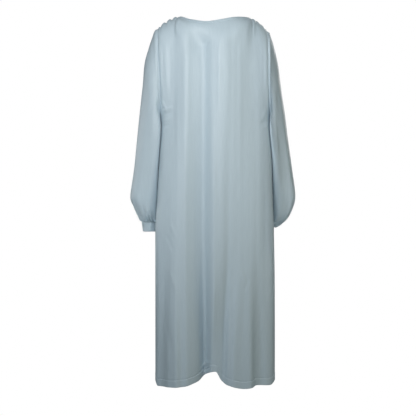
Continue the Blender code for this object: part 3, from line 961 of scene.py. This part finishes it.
# %% Cuffs
CUFF_HEIGHT = 0.036
CUFF_TAPER = 0.90
CUFF_COLUMNS = 120
CUFF_ROWS = 22
CUFF_THICKNESS = 0.0014
CUFF_EDGE_ROLL = 0.0012
CUFF_STITCH_ROW = 2
CUFF_EDGE_WIDTH = 0.003
CUFF_WAVE = 0.0005
CUFF_LEAN = 2.5


def cuff_points(side, seed):
    """A band just below the gathers, narrowing a little to the wrist."""
    last = RINGS[side][-1]
    centre = (last.outer + last.inner) / 2
    half_width = (last.outer - last.inner) / 2
    angles = (np.arange(CUFF_COLUMNS) * 2 * math.pi / CUFF_COLUMNS)[None, :]
    down = np.linspace(0, 1, CUFF_ROWS)[:, None]
    narrowing = 1 + (CUFF_TAPER - 1) * down
    from_edge = np.minimum(down, 1 - down) * CUFF_HEIGHT
    swell = -CUFF_EDGE_ROLL * bell(from_edge / CUFF_EDGE_WIDTH)
    draw = np.random.default_rng(seed)
    for waves in (3, 5, 8):
        lean = draw.uniform(-CUFF_LEAN, CUFF_LEAN)
        swell = swell + CUFF_WAVE * np.sin(waves * angles + lean * down + draw.uniform(0, 2 * math.pi))
    x = SIGN[side] * (centre + (half_width * narrowing + swell) * np.cos(angles))
    y = last.forward + (last.half_depth * narrowing + swell) * np.sin(angles)
    z = -last.outer_drop - CUFF_HEIGHT * down + 0 * angles
    return lie_on_body(side, np.stack((x, y, z), axis=-1), 0.0)


CUFF = {"left": cuff_points("left", 3), "right": cuff_points("right", 4)}
cuffs = {}
for side, points in CUFF.items():
    name = side + "_cuff_satin"
    cuffs[side] = cloth(name, points, middles(points), closed=True, thickness=CUFF_THICKNESS)
    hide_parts(side + "_cuff")

# %% [markdown]
# ## The neck binding
#
# The raw neck edge is wrapped in a bias strip, folded over it and stitched down. The
# strip is a thin loop in section, so it is made as a net closed both ways: round the
# neck, and round the little section itself.

# %% Binding
BINDING_HEIGHT = 0.009
BINDING_COLUMNS = 260
BINDING_HALF_THICKNESS = 0.0012
BINDING_LIP = 0.0015
BINDING_SUNK = 0.0004
BINDING_BEND_STEPS = 6
BINDING_PUCKERS = 61
PUCKER_SHARE = 0.10
WOBBLE_SHARE = 0.06
WOBBLE_TURN = 0.9


def neck_ring():
    """The neck seam all round, back then front, with the binding's rise and outward way there."""
    count = BINDING_COLUMNS // 2
    seam = []
    rise = []
    for face in ("back", "front"):
        across = np.linspace(-NECK_SHARE, NECK_SHARE, count + 1)[:-1]
        if face == "front":
            across = -across
        turn = across / NECK_SHARE * math.pi / 2
        slope = CENTRE_SLOPE + (NECK_POINT_SLOPE - CENTRE_SLOPE) * ease(np.abs(across) / NECK_SHARE)
        level = np.stack((-np.sin(turn), -OUT[face] * np.cos(turn), 0 * turn), axis=-1)
        up = np.array((0.0, 0.0, 1.0))
        seam.append(top_edge(face, across))
        rise.append(level * np.cos(slope)[:, None] + up * np.sin(slope)[:, None])
    seam = np.concatenate(seam)
    rise = np.concatenate(rise)
    along = np.roll(seam, -1, axis=0) - np.roll(seam, 1, axis=0)
    outward = unit(np.cross(along, rise))
    return seam, rise, outward * outward_sign(outward, seam, seam.mean(axis=0))


def binding_points():
    """The strip's section, carried round the neck."""
    seam, rise, outward = neck_ring()
    thick = BINDING_HALF_THICKNESS
    top = BINDING_HEIGHT - thick
    outside = [(-BINDING_LIP, 0.5), (0.0, 0.9), (0.25 * top, 1.0), (0.5 * top, 1.0), (0.75 * top, 1.0)]
    bends = [math.pi * step / BINDING_BEND_STEPS for step in range(BINDING_BEND_STEPS + 1)]
    section = outside + [(top + thick * math.sin(bend), math.cos(bend)) for bend in bends]
    section += [(height, -side) for height, side in reversed(outside)]
    count = np.arange(len(seam))
    puckers = PUCKER_SHARE * np.sin(count * 2 * math.pi * BINDING_PUCKERS / len(seam))
    swell = thick * (1 + puckers + WOBBLE_SHARE * np.sin(count * WOBBLE_TURN))[:, None]
    rows = [seam + rise * height + outward * (side * swell - BINDING_SUNK) for height, side in section]
    return np.array(rows), seam + rise * top / 2


binding_grid, binding_core = binding_points()
neck_binding = cloth(
    "neck_binding_satin", binding_grid, binding_core[None], closed=True, tube=True, thickness=0
)
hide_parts("neck_binding")

# %% [markdown]
# ## Stitches
#
# Rows of small machine stitches hold the hem, the cuffs and the binding. Each is a
# low-faced ball drawn out along the seam. Real ones are 2.5 mm long in thread 0.2 mm
# thick, which is too fine to see here, so they are drawn a little coarser.

# %% Rows of stitches
STITCH_PITCH = 0.0042
STITCH_LENGTH = 0.0030
STITCH_WIDTH = 0.0008
STITCH_FLATNESS = 0.7
STITCH_RISE = 0.15
NECK_STITCH_RISE = 0.0016
NECK_STITCH_SUNK = 0.0003


def stitches(name, lines):
    """One piece with stitches along some lines, each given with the way out of the cloth."""
    bm = bmesh.new()
    for line, outward in lines:
        length = lengths(line)
        places = np.arange(STITCH_PITCH / 2, length[-1] - STITCH_PITCH / 2, STITCH_PITCH)
        at = read_line(places, length, line)
        out = unit(read_line(places, length, outward))
        along = unit(np.gradient(at, axis=0))
        side = unit(np.cross(out, along))
        for here, forward, up, across in zip(at, along, out, side):
            made = bmesh.ops.create_icosphere(bm, subdivisions=1, radius=0.5)
            for vertex in made["verts"]:
                a, b, c = vertex.co
                vertex.co = (
                    here
                    + forward * a * STITCH_LENGTH
                    + across * b * STITCH_WIDTH
                    + up * (c * STITCH_WIDTH * STITCH_FLATNESS + STITCH_WIDTH * STITCH_RISE)
                )
    bmesh.ops.recalc_face_normals(bm, faces=bm.faces[:])
    return dress_piece(name, bm)


def line_on(points, row, closed, inside):
    """A row of a net as a line, with the way out of the cloth along it."""
    normals = surface_normals(points, closed)
    line = points[row]
    out = normals[row] * outward_sign(normals, points, inside)
    return (closed_up(line), closed_up(out)) if closed else (line, out)


def hem_row(points):
    """The row of a panel's net that lies nearest to the hem's height above the edge."""
    from_hem = lengths(points[::-1])[::-1].mean(axis=1)
    return int(np.argmin(np.abs(from_hem - HEM_HEIGHT)))


stitch_pieces = {}
for face, points in PANEL.items():
    line = line_on(points, hem_row(points), False, DRESS_MIDDLE)
    stitch_pieces[face] = stitches(face + "_hem_stitches", [line])
for side, points in CUFF.items():
    rows = (CUFF_STITCH_ROW, CUFF_ROWS - 1 - CUFF_STITCH_ROW)
    edges = [line_on(points, row, True, middles(points)) for row in rows]
    stitch_pieces[side] = stitches(side + "_cuff_stitches", edges)

seam, rise, outward = neck_ring()
neck_line = seam + rise * NECK_STITCH_RISE + outward * (BINDING_HALF_THICKNESS - NECK_STITCH_SUNK)
stitch_pieces["neck"] = stitches("neck_binding_stitches", [(closed_up(neck_line), closed_up(outward))])

# %% [markdown]

# %% [markdown]
# ## The satin
#
# Polyester satin is woven so that one set of threads floats on the face. The floats
# lie side by side down the cloth, which gives the soft streaked sheen along them and
# a duller look across. It could be done with one flat colour and a gloss, but the eye
# knows cloth by its small unevenness: slubs in the thread, and a face that buckles by
# a few tenths of a millimetre.

# %% Colours and nodes
def linear(hex_colour):
    """A colour from an sRGB hex value, as the shader wants it."""
    parts = [int(hex_colour[i : i + 2], 16) / 255 for i in (1, 3, 5)]
    return [p / 12.92 if p <= 0.04045 else ((p + 0.055) / 1.055) ** 2.4 for p in parts] + [1.0]


def add(tree, kind, settings=(), **inputs):
    """Adds a node, and links or fills its inputs.

    An input's spaces are written as _, and an input that goes by its number as n0, n1.
    A node given for an input is linked by its first output.
    """
    node = tree.nodes.new(kind)
    for name, value in settings:
        setattr(node, name, value)
    for name, value in inputs.items():
        numbered = name[0] == "n" and name[1:].isdigit()
        socket = node.inputs[int(name[1:]) if numbered else name.replace("_", " ")]
        if isinstance(value, bpy.types.Node):
            value = value.outputs[0]
        if isinstance(value, bpy.types.NodeSocket):
            tree.links.new(value, socket)
        else:
            socket.default_value = value
    return node


def new_material(name):
    """A material with no nodes yet, and its node tree."""
    material = bpy.data.materials.new(name)
    material.use_nodes = True
    material.node_tree.nodes.clear()
    return material, material.node_tree


print("mid grey:", [round(v, 3) for v in linear("#808080")])

# %% Woven polyester satin
SATIN_PALE = "#BBCDD7"
SATIN_DEEP = "#AEC1CC"
SLUB_WIDTH = 0.0022
SLUB_LENGTH = 0.060
FLOAT_WIDTH = 0.0009
FLOAT_LENGTH = 0.012
BUCKLE_WIDTH = 0.022
BUCKLE_LENGTH = 0.055
WEAVE_HEIGHT = 0.00008
BUCKLE_HEIGHT = 0.0012
GLOSS = (0.44, 0.58)
TWIST_HEIGHT = 0.0001
TWISTS_PER_METRE = 900.0
THREAD_PALE = "#BDCDD6"
THREAD_DEEP = "#9FB2BD"


def along_threads(tree, threads, width, length, **settings):
    """Noise of a given width across the threads and length along them, in metres."""
    way = add(tree, "ShaderNodeMapping", Vector=threads, Scale=(1 / width, 1 / length, 1.0))
    return add(tree, "ShaderNodeTexNoise", [("noise_dimensions", "2D")], Vector=way, Scale=1.0,
               **settings)


def two_tone(tree, share, pale, deep):
    """A colour that moves from pale to deep with a share."""
    mix = add(tree, "ShaderNodeMix", [("data_type", "RGBA")], n0=share, n6=linear(pale), n7=linear(deep))
    return mix.outputs[2]


def woven_satin(name):
    """Pale ice-blue polyester satin: smooth plastic threads, IOR 1.5, with a soft sheen along them."""
    material, tree = new_material(name)
    threads = add(tree, "ShaderNodeUVMap", [("uv_map", "threads")])
    slubs = along_threads(tree, threads, SLUB_WIDTH, SLUB_LENGTH, Detail=3.0, Roughness=0.6)
    colour = two_tone(tree, slubs, SATIN_PALE, SATIN_DEEP)
    gloss = add(tree, "ShaderNodeMapRange", Value=slubs, To_Min=GLOSS[0], To_Max=GLOSS[1])
    floats = along_threads(tree, threads, FLOAT_WIDTH, FLOAT_LENGTH, Detail=2.0)
    buckles = along_threads(tree, threads, BUCKLE_WIDTH, BUCKLE_LENGTH, Detail=2.0)
    weave = add(tree, "ShaderNodeBump", Height=floats, Distance=WEAVE_HEIGHT, Strength=0.6)
    surface = add(tree, "ShaderNodeBump", Height=buckles, Distance=BUCKLE_HEIGHT, Strength=0.6,
                  Normal=weave)
    shader = add(tree, "ShaderNodeBsdfPrincipled", Base_Color=colour, Roughness=gloss, Normal=surface,
                 IOR=1.5, Sheen_Weight=0.12, Sheen_Roughness=0.4, Anisotropic=0.3)
    add(tree, "ShaderNodeOutputMaterial", Surface=shader)
    return material


def spun_thread(name):
    """Spun polyester sewing thread: duller than the cloth, with a fine twist."""
    material, tree = new_material(name)
    place = add(tree, "ShaderNodeTexCoord").outputs["Object"]
    twist = add(tree, "ShaderNodeTexNoise", Vector=place, Scale=TWISTS_PER_METRE, Detail=1.0)
    colour = two_tone(tree, twist, THREAD_PALE, THREAD_DEEP)
    surface = add(tree, "ShaderNodeBump", Height=twist, Distance=TWIST_HEIGHT, Strength=0.5)
    shader = add(tree, "ShaderNodeBsdfPrincipled", Base_Color=colour, Roughness=0.7, Normal=surface)
    add(tree, "ShaderNodeOutputMaterial", Surface=shader)
    return material


satin = woven_satin("woven_polyester_satin")
thread = spun_thread("spun_polyester_thread")
for piece in (back_panel, front_panel, left_sleeve, right_sleeve, *cuffs.values(), neck_binding):
    piece.data.materials.append(satin)
for piece in stitch_pieces.values():
    piece.data.materials.append(thread)
print("materials:", satin.name, thread.name)

# %% [markdown]
# ## Studio
#
# The picture is a cut-out on white: no floor line and no shadow. The key is a soft box
# level with the shoulders, so that they are brightest and the hem falls off. The floor
# is lit paper that only the camera sees, so that it adds no light of its own.

# %% White surroundings
FLOOR_DROP = 1.46
FLOOR_SIZE = 40.0
WHITE = (1.0, 1.0, 1.0, 1.0)
AIR_COLOUR = "#E4F1F4"
AIR_STRENGTH = 0.18

bm = bmesh.new()
bmesh.ops.create_grid(bm, x_segments=1, y_segments=1, size=FLOOR_SIZE / 2)
for vertex in bm.verts:
    vertex.co.z = -FLOOR_DROP
floor = from_net("studio_floor", bm)
floor.visible_diffuse = False
floor.visible_glossy = False
floor.visible_shadow = False
paper, tree = new_material("lit_white_paper")
glow = add(tree, "ShaderNodeEmission", Color=WHITE, Strength=1.0)
add(tree, "ShaderNodeOutputMaterial", Surface=glow)
floor.data.materials.append(paper)

world = bpy.data.worlds.new("studio")
world.use_nodes = True
world.node_tree.nodes.clear()
tree = world.node_tree
seen = add(tree, "ShaderNodeBackground", Color=WHITE, Strength=1.0)
lit = add(tree, "ShaderNodeBackground", Color=linear(AIR_COLOUR), Strength=AIR_STRENGTH)
ray = add(tree, "ShaderNodeLightPath").outputs["Is Camera Ray"]
mix = add(tree, "ShaderNodeMixShader", Fac=ray, n1=lit, n2=seen)
add(tree, "ShaderNodeOutputWorld", Surface=mix)
bpy.context.scene.world = world
bpy.context.scene.view_settings.view_transform = "Standard"
print("floor at", -FLOOR_DROP, "m")

# %% [markdown]
# The right sleeve is darker than the body beside it. One more lamp could not make one
# side of a seam darker than the other, so a black card stands between the key and that
# sleeve, and the camera doesn't see it.

# %% A black card
CARD_NEAR = -0.070
CARD_FAR = -0.108
CARD_EDGE = ((0.196, 0.02), (0.196, -0.36), (0.212, -0.50), (0.212, -0.85))

bm = bmesh.new()
bmesh.ops.create_grid(bm, x_segments=len(CARD_EDGE) - 1, y_segments=1, size=1.0)
for vertex in bm.verts:
    x, z = CARD_EDGE[round((vertex.co.x + 1) / 2 * (len(CARD_EDGE) - 1))]
    vertex.co = (x, CARD_NEAR if vertex.co.y > 0 else CARD_FAR, z)
card = from_net("studio_black_card", bm)
card.visible_camera = False
card.visible_diffuse = False
card.visible_glossy = False
felt, tree = new_material("black_felt")
dull = add(tree, "ShaderNodeBsdfPrincipled", Base_Color=linear("#0A0A0A"), Roughness=1.0)
add(tree, "ShaderNodeOutputMaterial", Surface=dull)
card.data.materials.append(felt)
print("card beside the right sleeve, from Y", CARD_FAR, "to", CARD_NEAR, "m")

# %% [markdown]
# A tall box on the left gives the long folds a light and a dark side, and a warm bounce
# on the right fills the sleeve behind the card. One small box behind the dress edges
# the left sleeve, and two near the floor lift the gathers above the cuffs.

# %% Soft lights
Lamp = namedtuple("Lamp", "name place target width height power colour spread")
SOFT = 180
LAMPS = table(Lamp, (
    ("key_softbox", (-0.15, -1.30, 0.10), (0.0, -0.1, -0.35), 0.8, 0.8, 14.8, "#FFFBF9", SOFT),
    ("left_tall_softbox", (-1.60, -1.70, -0.36), (-0.2, 0.0, -0.65), 0.6, 1.8, 6.2, "#FFFFFF", SOFT),
    ("left_rim_softbox", (-1.4, 0.72, -0.42), (-0.27, 0.0, -0.44), 0.5, 0.6, 0.20, "#FFFFFF", 32),
    ("left_low_softbox", (-0.62, -0.20, -1.40), (-0.26, 0.03, -0.72), 0.3, 0.3, 0.08, "#FFFFFF", 24),
    ("right_low_softbox", (0.62, -0.20, -1.40), (0.27, 0.05, -0.68), 0.3, 0.3, 0.06, "#FFFFFF", 24),
    ("right_bounce", (2.2, -1.2, -0.6), (0.1, 0.0, -0.6), 1.6, 2.0, 7.0, "#FFF2C8", SOFT),
    ("front_side_softbox", (0.9, 2.4, 0.5), (0.0, 0.1, -0.5), 1.6, 1.6, 30.0, "#FFFFFF", SOFT),
))


def aim(lamp_object, target):
    """Turns a lamp to face a place."""
    way = np.array(target) - np.array(lamp_object.location)
    tilt = math.atan2(math.hypot(way[0], way[1]), -way[2])
    lamp_object.rotation_euler = (tilt, 0.0, math.atan2(way[1], way[0]) - math.pi / 2)


for lamp in LAMPS:
    light = bpy.data.lights.new(lamp.name, "AREA")
    light.shape = "RECTANGLE"
    light.size = lamp.width
    light.size_y = lamp.height
    light.energy = lamp.power
    light.color = linear(lamp.colour)[:3]
    light.spread = math.radians(lamp.spread)
    lamp_object = show(lamp.name, light)
    lamp_object.location = lamp.place
    aim(lamp_object, lamp.target)
print("lights:", len(LAMPS))
